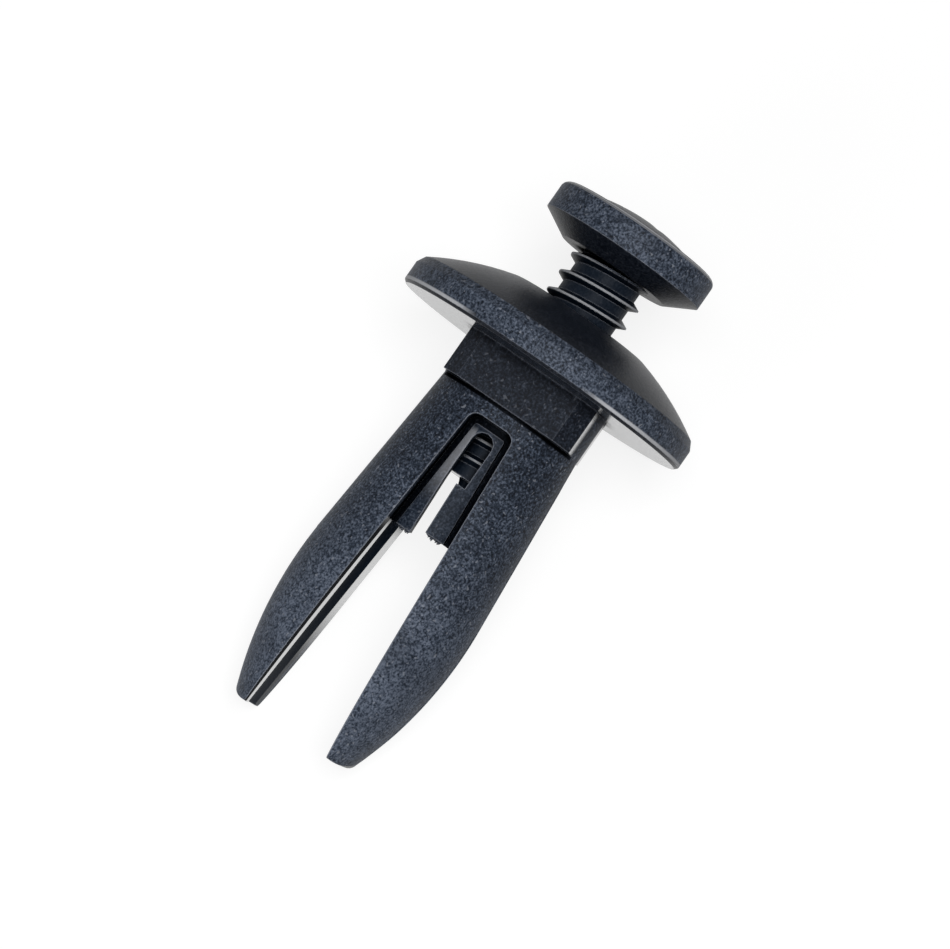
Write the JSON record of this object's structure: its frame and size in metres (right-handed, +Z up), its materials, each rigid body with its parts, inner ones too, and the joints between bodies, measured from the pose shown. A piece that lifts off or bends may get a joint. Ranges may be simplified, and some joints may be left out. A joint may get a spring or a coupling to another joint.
{
  "type": "bumper clip",
  "caption": "Plastic bumper clip: domed flange, square collar and bowed split legs that a threaded push screw spreads behind a panel hole.",
  "frame": {"origin": "middle of the clip's box on the surface it lies on", "axes": "+X along the ground from the leg tips to the screw head, +Z up, the slot facing up and down"},
  "size_m": [0.0374, 0.02, 0.0196],
  "materials": {
    "body_plastic": "matte black moulded plastic with a fine grain",
    "screw_plastic": "matte black moulded plastic with a fine grain"
  },
  "bodies": {
    "body": {"clip_body": "body_plastic"},
    "screw": {"drive_screw": "screw_plastic"}
  },
  "joints": [
    {"name": "screw_drive", "type": "slide", "parent": "body", "child": "screw", "axis": [-0.9669, 0, -0.2552], "range_m": [-0.008, 0.0039]}
  ]
}
